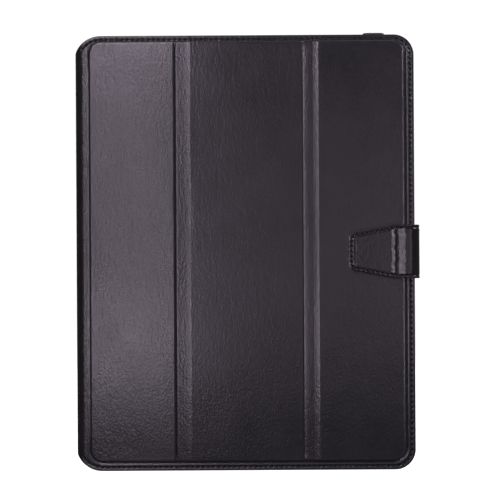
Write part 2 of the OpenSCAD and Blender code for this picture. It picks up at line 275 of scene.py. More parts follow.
def holes(u, z, centres, width, mask):
    """Small round hollows at the centres."""
    out = np.zeros_like(u)
    if mask.any():
        gap = np.stack([u[mask], z[mask]], 1)[:, None, :] - centres[None]
        out[mask] = bell(np.sqrt((gap**2).sum(2).min(1)), width)
    return out


# ---------------------------------------------------------------- heights of the leather


def rim_drop(e, r=0.5):
    """The rounding of a cut edge."""
    return r - np.sqrt(np.maximum(r * r - np.clip(r - e, 0, r) ** 2, 0))


def dome(s):
    """0 at the foot of a raised board and 1 on it, with a rounded shoulder."""
    return 1 - (1 - np.clip((s + SHOULDER) / SHOULDER_W, 0, 1)) ** 2.4


def border(u, z, e, s, stitches):
    """The sewn border: a rounded cut edge, the seam's groove, and a line at the board's foot."""
    past_line = -s - CREASE
    swell = 0.4 * smooth(e, SEAM + 0.2, SEAM + 0.8) * np.clip(past_line / 1.7, 0, 1) * smooth(u, 12, 22)
    h = LEATHER - rim_drop(e)
    h = h - GROOVE_DEPTH * bell(e - SEAM, GROOVE_W)
    h = h + swell
    h = h - LINE_DEPTH * bell(past_line, LINE_W) * (1 - 0.85 * beside_spine(u, z))
    if stitches is not None:
        h = h - HOLE_DEPTH * holes(u, z, stitches[2], HOLE_R, np.abs(e - SEAM) < 1.5)
    return h


def spine_slope(u):
    """How far the leather next to the spine lies behind the border."""
    return 0.045 * np.clip(FRONT_RAISED[0][0] - u, 0, 5)


def beside_spine(u, z):
    """1 along the raised edge next to the spine, fading out at its corners."""
    near = 1 - smooth(u, FRONT_RAISED[0][0] + 0.5, FRONT_RAISED[0][0] + 4)
    return near * smooth(z, 8, 26) * smooth(COVER_H - z, 8, 26)


# Each fold channel: how far its floor rises to the ramp, the ramp's height, and its slope at both ends
CHANNEL_SHAPE = {1: (0.95, 0.35, 0.13, 0.07), 2: (0.2, 0.75, 0.27, 0.165)}
RAMP_START, RAMP_END = 3.6, 0.15
CHANNEL_DROP = 0.95        # width of a channel's steep side
# Each pressed line at a steep side's foot: how slowly it fades out, and the ridge beside it
CHANNEL_LINE = {1: (0.4, 0.07), 2: (1.5, 0.0)}
# How much higher than its plain height each board's leather lies, at five places across the cover
TILT = (-0.9, 0.75, 0.75, 0.7, -0.5, 0)


def board_plane(u):
    """Height of the boards: the first slopes down to the spine, the second a little the other way."""
    first, last = FRONT_RAISED[0]
    end = FOLD_U[1] - CHANNEL_HALF
    marks = [first, end, end + 2, end + 3, FOLD_U[2], FOLD_U[2] + 2]
    free_rim = 0.3 * np.exp(-np.maximum(last + 0.1 - u, 0) / 0.9)
    return RAISE + np.interp(u, marks, TILT) + free_rim


def across(u):
    """Height of boards and channels: a steep drop, a gently rising floor and a ramp up to the next board."""
    h = board_plane(u)
    for i, (rise, ramp, start, end) in CHANNEL_SHAPE.items():
        left, right = FOLD_U[i] - CHANNEL_HALF, FOLD_U[i] + CHANNEL_HALF
        top = board_plane(np.array([right]))[0]
        fall = 1 - (1 - np.clip((left + CHANNEL_DROP - u) / (CHANNEL_DROP + 0.1), 0, 1)) ** 2.6
        t = np.clip((u - right + RAMP_START) / (RAMP_START - RAMP_END), 0, 1)
        climb = (start * t + (end - start) * t * t / 2) / (start / 2 + end / 2)
        risen = np.clip((u - left - 1) / (2 * CHANNEL_HALF - 1 - RAMP_START), 0, 1)
        floor = top - ramp - rise + rise * risen
        h = np.where((u > left - 0.1) & (u < right), (floor + ramp * climb) * (1 - fall) + h * fall, h)
    return h


def channel_lines(u, i):
    """The pressed line at the foot of a channel's steep side, and the small ridge beside the first one."""
    past = u - FOLD_U[i] + CHANNEL_HALF - CHANNEL_DROP
    fade, ridge = CHANNEL_LINE[i]
    line = np.where(past > 0, np.exp(-np.maximum(past, 0) / fade), smooth(past, -0.3, 0))
    return ridge * bell(past - 1.0, 0.45) - LINE_DEPTH * line


def undulation(u, z, k):
    """Slow unevenness of hide stretched over a board."""
    wide = np.sin(u / 9.1 + z / 31 + k) + np.sin(z / 17.3 - u / 23 + 2 * k)
    return 0.028 * (wide + 0.8 * np.sin((u + z) / 13.7 + 3 * k))


def front_height(u, z):
    """The front cover's relief, with the flap's faint imprint round it."""
    e = edge_distance(u, z)
    s = inside(u, z, FRONT_RAISED, RAISED_R_LEFT, RAISED_R_RIGHT)
    in_lines = smooth(s, 0.8, 3.2)
    h = border(u, z, e, s, FRONT_STITCHES) - spine_slope(u)
    h = h + dome(s) * (across(u) + spine_slope(u))
    h = h + in_lines * (channel_lines(u, 1) + channel_lines(u, 2))
    h = h - 0.2 * bell(flap_edge(u, z) + 0.45, 0.4) * smooth(s, 0, 1)
    from_fold = np.minimum(np.abs(u - FOLD_U[1]), np.abs(u - FOLD_U[2]))
    return h + smooth(s, 0, 9) * smooth(from_fold, 3, 9) * undulation(u, z, 0.7)


def back_height(u, z):
    """The back cover's relief: one board, and pressed lines at the camera window."""
    e = edge_distance(u, z)
    s = inside(u, z, BACK_RAISED, RAISED_R_LEFT, RAISED_R_RIGHT)
    c = inside(u, z, (CAMERA_U, CAMERA_Z), CAMERA_R, CAMERA_R)
    h = border(u, z, e, s, None) + dome(s) * RAISE
    h = h - 0.22 * bell(c + CAMERA_LINE, 0.45) - 0.18 * bell(c, 0.5)
    return h + smooth(s, 0, 9) * smooth(-c, 2, 9) * undulation(u, z, 2.1)


def wear(s, e):
    """Where fingers and tables polish the leather: the shoulders of the boards and the cut edges."""
    return np.clip(bell(s - 0.35, 0.55) + 0.7 * bell(e - 0.25, 0.35), 0, 1)


# ---------------------------------------------------------------- meshes


def make_object(name, verts, faces, material, body=None, sharp=55):
    """A piece from points in millimetres (u, y, z), smooth but for its sharp edges."""
    mesh = bpy.data.meshes.new(name)
    points = np.asarray(verts, float) * MM
    points[:, 0] += SPINE_X
    mesh.from_pydata(points.tolist(), [], faces)
    bm = bmesh.new()
    bm.from_mesh(mesh)
    bmesh.ops.recalc_face_normals(bm, faces=bm.faces)
    bm.to_mesh(mesh)
    bm.free()
    mesh.polygons.foreach_set("use_smooth", [True] * len(mesh.polygons))
    mesh.set_sharp_from_angle(angle=math.radians(sharp))
    mesh.materials.append(material)
    obj = bpy.data.objects.new(name, mesh)
    bpy.context.scene.collection.objects.link(obj)
    if body:
        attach(obj, body)
    return obj


def set_wear(obj, values):
    """Stores how worn the leather is at each vertex, for its material."""
    attribute = obj.data.attributes.new("wear", "FLOAT", "POINT")
    attribute.data.foreach_set("value", np.asarray(values, np.float32))


def grid_faces(nu, nz, offset=0):
    """Faces between the lines of a grid whose first vertex has this number."""
    k = offset + np.arange(nu * nz).reshape(nu, nz)
    quads = np.stack([k[:-1, :-1], k[1:, :-1], k[1:, 1:], k[:-1, 1:]], -1)
    return quads.reshape(-1, 4).tolist()


def rim_loop(nu, nz):
    """Vertex numbers round the border of a grid."""
    k = np.arange(nu * nz).reshape(nu, nz)
    return np.concatenate([k[:-1, 0], k[-1, :-1], k[:0:-1, -1], k[0, :0:-1]])


def closed_sheet(outer, inner, flat_inside):
    """Points and faces of a sheet between two grids. A flat inside is one face."""
    nu, nz = outer.shape[:2]
    rim = rim_loop(nu, nz)
    count = nu * nz
    verts, faces = outer.reshape(-1, 3), grid_faces(nu, nz)
    if flat_inside:
        verts = np.concatenate([verts, inner.reshape(-1, 3)[rim]])
        low = count + np.arange(len(rim))
        faces.append(low.tolist())
    else:
        verts = np.concatenate([verts, inner.reshape(-1, 3)])
        low = count + rim
        faces += grid_faces(nu, nz, count)
    faces += np.stack([rim, low, np.roll(low, -1), np.roll(rim, -1)], 1).tolist()
    return verts, faces


def cover_skin(name, us, zs, height, side, material, body=None, flat_inside=True):
    """Leather over part of a cover. side is -1 for the front and 1 for the back."""
    gu, gz = np.meshgrid(us, zs, indexing="ij")
    u, z = fit_outline(gu, gz)
    seam = FRONT_SEAM if side < 0 else BACK_SEAM
    outer = np.stack([u, seam + side * height(u, z), z], -1)
    inner = np.stack([u, np.full_like(u, seam), z], -1)
    verts, faces = closed_sheet(outer, inner, flat_inside)
    obj = make_object(name, verts, faces, material, body)
    raised = FRONT_RAISED if side < 0 else BACK_RAISED
    vu, vz = verts[:, 0], verts[:, 2]
    s = inside(vu, vz, raised, RAISED_R_LEFT, RAISED_R_RIGHT)
    worn = wear(s, edge_distance(vu, vz))
    if side < 0:
        worn = worn * (1 - beside_spine(vu, vz))
        for i in FOLD_U:
            worn = worn + smooth(s, 0, 2) * bell(vu - FOLD_U[i] - CHANNEL_HALF + 0.2, 0.5)
    set_wear(obj, np.clip(worn, 0, 1))
    return obj


def cut(obj, cutter):
    """Takes the cutter away from a mesh."""
    modifier = obj.modifiers.new("cut", "BOOLEAN")
    modifier.operation, modifier.solver, modifier.object = "DIFFERENCE", "EXACT", cutter
    graph = bpy.context.evaluated_depsgraph_get()
    mesh = bpy.data.meshes.new_from_object(obj.evaluated_get(graph))
    obj.modifiers.remove(modifier)
    obj.data = mesh


def camera_cutter(material):
    """A rounded square bar through the camera window."""
    reach = (CAMERA_U[1] - CAMERA_U[0]) / 2 - CAMERA_R
    cu, cz = sum(CAMERA_U) / 2, sum(CAMERA_Z) / 2
    points = np.concatenate([
        arc(cu + su * reach, cz + sz * reach, CAMERA_R, a, a + 90)[::4]
        for su, sz, a in ((1, 1, 0), (-1, 1, 90), (-1, -1, 180), (1, -1, 270))
    ])
    n = len(points)
    verts = [(u, y, z) for y in (-20, 20) for u, z in points]
    faces = [list(range(n)), list(range(n, 2 * n))]
    faces += [[k, (k + 1) % n, n + (k + 1) % n, n + k] for k in range(n)]
    return make_object("camera_cutter", verts, faces, material)


def swept(name, path_out, path_in, ends, zs, material, body=None, rim=0.45, dent=None):
    """A sheet of constant section: two matching (u, y) paths over the height, with rounded ends."""
    def surface(path):
        u, z = np.meshgrid(path[:, 0], zs, indexing="ij")
        y = np.broadcast_to(path[:, 1][:, None], u.shape)
        return np.stack([u, y, ends(u, z)], -1)

    outer, inner = surface(path_out), surface(path_in)
    gap = np.minimum(zs, zs[-1] + zs[0] - zs) - zs[0]
    pull = rim_drop(gap, rim)[None, :, None]
    if dent is not None:
        pull = pull + dent(outer)[..., None]
    thick = np.linalg.norm(outer - inner, axis=-1, keepdims=True)
    outer = outer + (inner - outer) * pull / thick
    verts, faces = closed_sheet(outer, inner, False)
    return make_object(name, verts, faces, material, body)


# ---------------------------------------------------------------- materials


class Finish:
    """Builds one material, node by node."""

    def __init__(self, name):
        self.material = bpy.data.materials.new(name)
        self.material.use_nodes = True
        self.tree = self.material.node_tree
        self.shader = self.tree.nodes["Principled BSDF"]
        self.where = self.node("ShaderNodeTexCoord").outputs["Object"]

    def node(self, kind, **values):
        made = self.tree.nodes.new(kind)
        for key, value in values.items():
            setattr(made, key, value)
        return made

    def link(self, a, b):
        self.tree.links.new(a, b)

    def place(self, texture, size_mm, stretch):
        """Lays a texture out so that its spots are about so large."""
        mapping = self.node("ShaderNodeMapping")
        mapping.inputs["Scale"].default_value = [k / (size_mm * MM) for k in stretch]
        self.link(self.where, mapping.inputs["Vector"])
        texture.inputs["Scale"].default_value = 1.0
        self.link(mapping.outputs["Vector"], texture.inputs["Vector"])

    def noise(self, size_mm, detail=3.0, stretch=(1, 1, 1)):
        """Soft spots."""
        made = self.node("ShaderNodeTexNoise")
        made.inputs["Detail"].default_value = detail
        self.place(made, size_mm, stretch)
        return made.outputs["Fac"]

    def cells(self, size_mm, stretch=(1, 1, 1)):
        """Distance from the edges of irregular cells."""
        made = self.node("ShaderNodeTexVoronoi", feature="DISTANCE_TO_EDGE")
        self.place(made, size_mm, stretch)
        return made.outputs["Distance"]

    def ramp(self, value, low, high, out_low=0.0, out_high=1.0):
        """Maps a range of values to another one."""
        made = self.node("ShaderNodeMapRange")
        limits = {"From Min": low, "From Max": high, "To Min": out_low, "To Max": out_high}
        for key, number in limits.items():
            made.inputs[key].default_value = number
        self.link(value, made.inputs["Value"])
        return made.outputs["Result"]

    def maths(self, operation, a, b):
        made = self.node("ShaderNodeMath", operation=operation)
        for socket, value in zip(made.inputs, (a, b)):
            if isinstance(value, (int, float)):
                socket.default_value = value
            else:
                self.link(value, socket)
        return made.outputs[0]

    def blend_colours(self, factor, a, b):
        made = self.node("ShaderNodeMix", data_type="RGBA")
        self.link(factor, made.inputs["Factor"])
        for socket, value in ((made.inputs[6], a), (made.inputs[7], b)):
            if isinstance(value, tuple):
                socket.default_value = (*value, 1)
            else:
                self.link(value, socket)
        return made.outputs[2]

    def bump(self, height, distance_mm, strength=1.0, below=None):
        """Fine relief, on top of another one if there is one below."""
        made = self.node("ShaderNodeBump")
        made.inputs["Strength"].default_value = strength
        made.inputs["Distance"].default_value = distance_mm * MM
        self.link(height, made.inputs["Height"])
        if below is not None:
            self.link(below, made.inputs["Normal"])
        return made.outputs["Normal"]

    def set(self, **values):
        """Sets or links the shader's inputs, and returns the material."""
        for key, value in values.items():
            socket = self.shader.inputs[key.replace("_", " ")]
            if isinstance(value, bpy.types.NodeSocket):
                self.link(value, socket)
            elif isinstance(value, tuple):
                socket.default_value = (*value, 1)
            else:
                socket.default_value = value
        return self.material


SPECULAR_TINT = (1.0, 0.86, 1.03)     # the dye's faint violet bronze


def leather_finish(name, dark, light, rough, worn_colour=(0.055, 0.048, 0.058)):
    """Smooth aniline hide: pores, fine creases, uneven dye, and polish where it is handled."""
    f = Finish(name)
    cloud = f.noise(22, 5)
    streak = f.noise(3.4, 3, (1.5, 1, 0.45))
    pores = f.cells(0.6, (1, 1, 0.8))
    grain = f.noise(1.35, 4, (1.25, 1, 0.75))
    crease = f.ramp(f.cells(8.5, (1.3, 1, 0.45)), 0.0, 0.06)
    worn = f.node("ShaderNodeAttribute", attribute_name="wear").outputs["Fac"]
    worn = f.maths("MULTIPLY", worn, f.ramp(f.noise(5, 4), 0.35, 0.7))
    dye = f.maths("ADD", f.maths("MULTIPLY", cloud, 0.6), f.maths("MULTIPLY", grain, 0.4))
    colour = f.blend_colours(f.ramp(dye, 0.36, 0.64), dark, light)
    colour = f.blend_colours(f.maths("MULTIPLY", worn, 0.55), colour, worn_colour)
    roughness = f.ramp(dye, 0.3, 0.7, rough - 0.035, rough + 0.035)
    roughness = f.maths("ADD", roughness, f.maths("MULTIPLY", worn, -0.12))
    normal = f.bump(pores, 0.03, 0.6)
    normal = f.bump(grain, 0.15, 0.7, normal)
    normal = f.bump(streak, 0.16, 0.5, normal)
    normal = f.bump(crease, 0.03, 0.35, normal)
    return f.set(
        Base_Color=colour, Roughness=roughness, Normal=normal, Specular_IOR_Level=0.5,
        Specular_Tint=SPECULAR_TINT, Sheen_Weight=0.03,
    )


def suede_finish(name, dark, light):
    """Short-napped microfibre with brushed patches."""
    f = Finish(name)
    nap = f.noise(12, 4, (1, 1, 0.6))
    fibre = f.noise(0.5, 3, (1.6, 1, 0.8))
    colour = f.blend_colours(f.ramp(nap, 0.35, 0.65), dark, light)
    normal = f.bump(fibre, 0.12, 0.8)
    return f.set(
        Base_Color=colour, Roughness=f.ramp(nap, 0.3, 0.7, 0.86, 0.96), Normal=normal,
        Specular_IOR_Level=0.2, Sheen_Weight=0.5, Sheen_Roughness=0.4,
    )


def thread_finish(name, dark, light):
    """Waxed twisted thread."""
    f = Finish(name)
    strand = f.noise(0.35, 3)
    colour = f.blend_colours(f.ramp(strand, 0.3, 0.7), dark, light)
    roughness = f.ramp(f.noise(2, 2), 0.3, 0.7, 0.42, 0.58)
    return f.set(Base_Color=colour, Roughness=roughness, Normal=f.bump(strand, 0.05, 0.7))


def moulded_finish(name, dark, light, rough, texture_mm=0.35):
    """Moulded polymer with a fine spark-eroded texture."""
    f = Finish(name)
    spark = f.noise(texture_mm, 2)
    haze = f.noise(18, 3)
    colour = f.blend_colours(f.ramp(haze, 0.35, 0.65), dark, light)
    roughness = f.ramp(haze, 0.3, 0.7, rough - 0.05, rough + 0.06)
    return f.set(Base_Color=colour, Roughness=roughness, Normal=f.bump(spark, 0.03, 0.5))


def board_finish(name):
    """Grey board pressed from pulp."""
    f = Finish(name)
    pulp = f.noise(1.2, 5, (1, 1, 0.5))
    colour = f.blend_colours(f.ramp(pulp, 0.3, 0.7), (0.27, 0.25, 0.22), (0.4, 0.38, 0.34))
    roughness = f.ramp(pulp, 0.3, 0.7, 0.8, 0.92)
    return f.set(Base_Color=colour, Roughness=roughness, Normal=f.bump(pulp, 0.1, 0.5))


def steel_finish(name):
    """Plated steel, brushed along its height."""
    f = Finish(name)
    brushed = f.noise(0.4, 3, (1, 1, 0.03))
    colour = f.blend_colours(f.ramp(brushed, 0.3, 0.7), (0.5, 0.5, 0.52), (0.66, 0.66, 0.68))
    roughness = f.ramp(brushed, 0.3, 0.7, 0.28, 0.42)
    return f.set(Base_Color=colour, Metallic=1.0, Roughness=roughness, Normal=f.bump(brushed, 0.01, 0.4))


LEATHER_M = leather_finish("cover leather", (0.015, 0.0132, 0.0175), (0.021, 0.0185, 0.024), 0.23)
SPINE_M = leather_finish("spine leather", (0.008, 0.0075, 0.009), (0.014, 0.013, 0.015), 0.27)
TAB_M = leather_finish("tab leather", (0.006, 0.0055, 0.0065), (0.012, 0.011, 0.013), 0.18)
SUEDE_M = suede_finish("lining suede", (0.045, 0.045, 0.05), (0.075, 0.075, 0.08))
THREAD_M = thread_finish("thread", (0.008, 0.008, 0.009), (0.03, 0.028, 0.03))
TRAY_M = moulded_finish("tray polymer", (0.018, 0.018, 0.019), (0.027, 0.027, 0.028), 0.5)
BUTTON_M = moulded_finish("button skin", (0.014, 0.014, 0.015), (0.024, 0.024, 0.025), 0.42)
BOARD_M = board_finish("pressed board")
STEEL_M = steel_finish("plated steel")

# ---------------------------------------------------------------- leather skins of the covers

CUT_EDGE, BORDER_LOW, BORDER_HIGH = 0.6, 9.8, 7.4


def rows(middle):
    """Heights of the grid lines, close together at the sewn borders."""
    return steps(
        [0, CUT_EDGE, BORDER_LOW, COVER_H - BORDER_HIGH, COVER_H - CUT_EDGE, COVER_H],
        [0.12, 0.42, middle, 0.42, 0.12],
    )


def front_skins():
    """The front cover's leather: three stiff panels, and strips between them."""
    c1, c2 = CHANNELS[1], CHANNELS[2]
    first, last = FRONT_RAISED[0]
    panels = {
        1: steps([HINGE_JOIN_U, first + 1.6, c1[0] - 2.6, c1[0]], [0.28, 0.6, 0.2]),
        2: steps([c1[1], c1[1] + 1.4, c2[0] - 2.6, c2[0]], [0.14, 0.6, 0.2]),
        3: steps(
            [c2[1], c2[1] + 1.4, last - 1.6, last + 1.6, COVER_W - CUT_EDGE, COVER_W],
            [0.14, 0.62, 0.28, 0.42, 0.12],
        ),
    }
    for i, us in panels.items():
        zs = rows(0.62 if i == 3 else 1.6)
        skin = cover_skin(f"panel_{i}_skin", us, zs, front_height, -1, LEATHER_M, f"panel_{i}")
        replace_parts(skin, f"panel_{i}_leather")
    zs = rows(1.6)
    for i, (a, b) in CHANNELS.items():
        us = steps([a, a + 2, b - 3.6, b], [0.16, 0.4, 0.2])
        strip = cover_skin(f"fold_{i}_strip", us, zs, front_height, -1, LEATHER_M, flat_inside=False)
        blend_fold(strip)
    us = steps([SPINE_JOIN_U, HINGE_JOIN_U], [0.2])
    strip = cover_skin("cover_hinge_strip", us, zs, front_height, -1, LEATHER_M, flat_inside=False)
    blend_cover_hinge(strip)


def blend_fold(obj):
    """Bakes a piece's placement into its mesh; the piece is not bent."""
    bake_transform(obj)


def blend_cover_hinge(obj):
    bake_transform(obj)


def blend_spine_hinge(obj):
    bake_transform(obj)


def back_skin():
    """The back cover's leather and lining, with the camera window cut out of both."""
    first, last = BACK_RAISED[0]
    us = steps(
        [BACK_JOIN_U[1], first - 1.8, first + 1.6, last - 1.6, last + 1.6, COVER_W - CUT_EDGE, COVER_W],
        [0.6, 0.3, 1.2, 0.28, 0.36, 0.12],
    )
    skin = cover_skin("back_skin", us, rows(1.2), back_height, 1, LEATHER_M, "back")
    cutter = camera_cutter(LEATHER_M)
    cut(skin, cutter)
    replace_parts(skin, "back_leather")
    lining = flat_lining("back_lining_sheet", steps([BACK_JOIN_U[1], COVER_W], [2.5]), 1, "back")
    cut(lining, cutter)
    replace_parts(lining, "back_lining")
    bpy.data.objects.remove(cutter)


# ---------------------------------------------------------------- linings


def flat_lining(name, us, side, body=None):
    """Suede behind part of a cover, a little inside the leather's edge."""
    zs = steps([0, 1, COVER_H - 1, COVER_H], [0.25, 2.5, 0.25])
    gu, gz = np.meshgrid(us, zs, indexing="ij")
    u, z = fit_outline(gu, gz)
    mid_u, mid_z = COVER_W / 2, COVER_H / 2
    z = mid_z + (z - mid_z) * (1 - LINING_INSET / mid_z)
    u = np.where(u > mid_u, mid_u + (u - mid_u) * (1 - LINING_INSET / mid_u), u)
    seam = FRONT_SEAM if side < 0 else BACK_SEAM
    e = edge_distance(u, z) - LINING_INSET
    nap = LINING - rim_drop(e, 0.35)
    outer = np.stack([u, seam - side * nap, z], -1)
    inner = np.stack([u, np.full_like(u, seam), z], -1)
    verts, faces = closed_sheet(outer, inner, False)
    obj = make_object(name, verts, faces, SUEDE_M, body)
    return obj


def front_linings():
    """The front cover's suede, split where its leather is."""
    c1, c2 = CHANNELS[1], CHANNELS[2]
    panels = {1: (HINGE_JOIN_U, c1[0]), 2: (c1[1], c2[0]), 3: (c2[1], COVER_W)}
    for i, (a, b) in panels.items():
        marks, sizes = ([a, b - 14, b - 0.5, b], [2.5, 1, 0.25]) if i == 3 else ([a, b], [2.5])
        lining = flat_lining(f"panel_{i}_lining_sheet", steps(marks, sizes), -1, f"panel_{i}")
        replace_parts(lining, f"panel_{i}_lining")
    for i, (a, b) in CHANNELS.items():
        blend_fold(flat_lining(f"fold_{i}_lining", steps([a, b], [0.5]), -1))
    blend_cover_hinge(flat_lining("cover_hinge_lining", steps([SPINE_JOIN_U, HINGE_JOIN_U], [0.3]), -1))


# ---------------------------------------------------------------- spine

SPINE_ROLL_U = 6.0         # where the roll at the front ends
SPINE_ROLL_DEPTH = 4.5
SPINE_BACK_R = 3.0         # radius of the roll at the back


def spine_path(inset, start_u, end_u):
    """The spine's section at an inset: from the cover hinge, round the spine, to the back hinge."""
    a, b = SPINE_ROLL_U, SPINE_ROLL_DEPTH
    cy = spine_front_y(a) + b
    back_c = (SPINE_BACK_R, BACK_FLANGE - SPINE_BACK_R)
    flat_u = np.linspace(start_u, a, 8)[:-1]
    flat = np.stack([flat_u, spine_front_y(flat_u) + inset], 1)
    turn = np.linspace(0, math.pi / 2, 40)
    front = np.stack([a - a * np.sin(turn), cy - b * np.cos(turn)], 1)
    normal = np.stack([np.sin(turn) / a, np.cos(turn) / b], 1)
    normal /= np.linalg.norm(normal, axis=1, keepdims=True)
    front = front + inset * normal
    side = np.stack([np.full(12, inset), np.linspace(cy, back_c[1], 14)[1:-1]], 1)
    last = math.acos((back_c[0] - end_u) / SPINE_BACK_R)
    turn = np.linspace(0, last, 16)
    r = SPINE_BACK_R - inset
    back = np.stack([back_c[0] - r * np.cos(turn), back_c[1] + r * np.sin(turn)], 1)
    return np.concatenate([flat, front, side, back])


def spine_front_y(u):
    """The spine's face seen from the front: a slope and then a roll."""
    a, b = SPINE_ROLL_U, SPINE_ROLL_DEPTH
    slope = FRONT_FLANGE + spine_slope(np.maximum(u, a))
    return slope + b * (1 - np.sqrt(1 - np.clip((a - u) / a, 0, 1) ** 2))


def spine_dent(outer):
    """The seam's groove and holes, which run on to the spine at its corners."""
    u, y, z = outer[..., 0], outer[..., 1], outer[..., 2]
    e = edge_distance(u, z)
    front = smooth(-y, 1.5, 3.5)
    groove = 0.3 * bell(e - SEAM, 0.55) * smooth(u, 3.6, 5)
    return front * (groove + 0.45 * holes(u, z, FRONT_STITCHES[2], 0.42, (np.abs(e - SEAM) < 1.1) & (y < 0)))


def spine():
    """The spine's leather and lining, and the strips between it and the back cover."""
    zs = rows(1.8)
    end_u = BACK_JOIN_U[0]
    skin = swept(
        "spine_skin", spine_path(0, SPINE_JOIN_U, end_u), spine_path(LEATHER, SPINE_JOIN_U, end_u),
        shear, zs, SPINE_M, "spine", dent=spine_dent,
    )
    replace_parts(skin, "spine_leather")
    set_wear(skin, np.zeros(len(skin.data.vertices)))
    lining_zs = steps([LINING_INSET, 1.5, COVER_H - 1.5, COVER_H - LINING_INSET], [0.3, 2.5, 0.3])
    lining = swept(
        "spine_lining_sheet", spine_path(LEATHER + LINING, SPINE_JOIN_U, end_u),
        spine_path(LEATHER, SPINE_JOIN_U, end_u), shear, lining_zs, SUEDE_M, "spine", rim=0.3,
    )
    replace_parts(lining, "spine_lining")
    for name, low, high, material, zs_here, slot in (
        ("spine_hinge_strip", 0.0, LEATHER, LEATHER_M, zs, "cover_leather"),
        ("spine_hinge_lining", LEATHER + LINING, LEATHER, SUEDE_M, lining_zs, "lining"),
    ):
        strip = swept(name, back_hinge_path(low), back_hinge_path(high), shear, zs_here, material)
        blend_spine_hinge(strip)


def back_hinge_path(inset):
    """The back's section from the spine's roll to the back cover."""
    centre_y = BACK_FLANGE - SPINE_BACK_R
    u = np.linspace(*BACK_JOIN_U, 15)
    r = SPINE_BACK_R - inset
    turn = np.clip((SPINE_BACK_R - u) / SPINE_BACK_R, 0, 1)
    return np.stack([
        np.where(u < SPINE_BACK_R, SPINE_BACK_R - r * turn, u),
        np.where(u < SPINE_BACK_R, centre_y + r * np.sqrt(1 - turn**2), BACK_FLANGE - inset),
    ], 1)


# ---------------------------------------------------------------- thread


def stitch_points(centre, way, out, lift, length, slant):
    """One twisted stitch that dives into the leather at both ends."""
    rings, sides, radius = 11, 8, 0.31
    across = np.cross(out, way)
    way = way * math.cos(slant) + across * math.sin(slant)
    across = np.cross(out, way)
    t = np.linspace(-1, 1, rings)
    r = radius * np.sqrt(np.maximum(1 - np.abs(t) ** 5, 0.02))
    core = centre + way * (t * length / 2)[:, None] + out * (lift - 0.42 * np.abs(t) ** 3)[:, None]
    turn = np.linspace(0, 2 * math.pi, sides, endpoint=False)
    twist = 1 + 0.12 * np.cos(2 * (turn[None] - 2.6 * t[:, None]))
    ring = (r[:, None] * twist)[..., None]
    points = core[:, None] + ring * (
        across * np.cos(turn)[None, :, None] + out * 0.85 * np.sin(turn)[None, :, None]
    )
    return points.reshape(-1, 3), rings, sides


def thread(name, places, body=None, length=STITCH_L):
    """A row of stitches as one piece.

    Each place is a stitch's centre, its direction and the way out of the leather, all in (u, y, z), and
    then its lift and slant.
    """
    verts, faces = [], []
    for centre, way, out, lift, slant in places:
        centre, way, out = np.array(centre), np.array(way), np.array(out)
        points, rings, sides = stitch_points(centre, way, out, lift, length, slant)
        base = sum(len(v) for v in verts)
        verts.append(points)
        for k in range(rings - 1):
            for j in range(sides):
                a, b = base + k * sides + j, base + k * sides + (j + 1) % sides
                faces.append([a, b, b + sides, a + sides])
        faces.append([base + j for j in range(sides)])
        faces.append([base + (rings - 1) * sides + j for j in range(sides)])
    obj = make_object(name, np.concatenate(verts), faces, THREAD_M, body, sharp=80)
    return obj


def cover_threads():
    """Stitches round both covers, shared out among the bodies that they are sewn to."""
    c1, c2 = CHANNELS[1], CHANNELS[2]
    limits = {
        "spine": (-1, SPINE_JOIN_U), "cover_hinge": (SPINE_JOIN_U, HINGE_JOIN_U),
        "panel_1": (HINGE_JOIN_U, c1[0]), "fold_1": c1,
        "panel_2": (c1[1], c2[0]), "fold_2": c2, "panel_3": (c2[1], COVER_W),
    }
    centres, ways, _ = FRONT_STITCHES
    lean, sunk = 0.13, -0.12
    for group, (a, b) in limits.items():
        places = []
        for (u, z), (du, dz) in zip(centres, ways):
            if a <= u < b:
                y = spine_front_y(u) if group == "spine" else FRONT_FLANGE
                places.append(((u, y, z), (du, 0, dz), (0, -1, 0), sunk, lean))
        if not places:
            continue
        rigid = group in frame["bodies"]
        obj = thread(f"{group}_thread", places, group if rigid else None)
        if group == "cover_hinge":
            blend_cover_hinge(obj)
        elif not rigid:
            blend_fold(obj)
        elif group.startswith("panel"):
            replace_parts(obj, f"{group}_stitches")
    places = [
        ((u, BACK_FLANGE, z), (du, 0, dz), (0, 1, 0), sunk, lean)
        for (u, z), (du, dz) in zip(*BACK_STITCHES[:2])
    ]
    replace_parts(thread("back_thread", places, "back"), "back_stitches")


# ---------------------------------------------------------------- closing tab

FLAP_END_HALF = 13.0       # half of the free end's width
FLAP_FULL_U = 210.9        # where the flap has widened to the whole tab
FLAP_R = 5.4
FLAP_SEAM = 2.0
TAB_PITCH = 3.3
TAB_STITCH_L = 2.4
TOOLED_U = (184.2, 186.2)  # two pressed lines across the free end
TOOLED_HALF = 9.6
SEAM_END_U = 223.0
FLAP_JOIN_U = 219.5        # where the flap's rigid part ends and its bend begins
ROLL = (7.2, 6.0)          # width and depth of the roll round the free edge
SIDE_JOIN_Y = FLAP_FACE + 7.5
ROOT_JOIN_Y = 3.2
ROOT_R = 3.0
TAB_LEATHER_T = TAB_T / 2


def flap_half(u):
    """Half of the tab's width."""
    taper = (TAB_HALF - FLAP_END_HALF) / (FLAP_FULL_U - FLAP_U0 - FLAP_R)
    straight = np.clip(FLAP_END_HALF + (u - FLAP_U0 - FLAP_R) * taper, 0, TAB_HALF)
    near = np.clip(FLAP_R - (u - FLAP_U0), 0, FLAP_R)
    return straight - FLAP_R + np.sqrt(FLAP_R**2 - near**2)


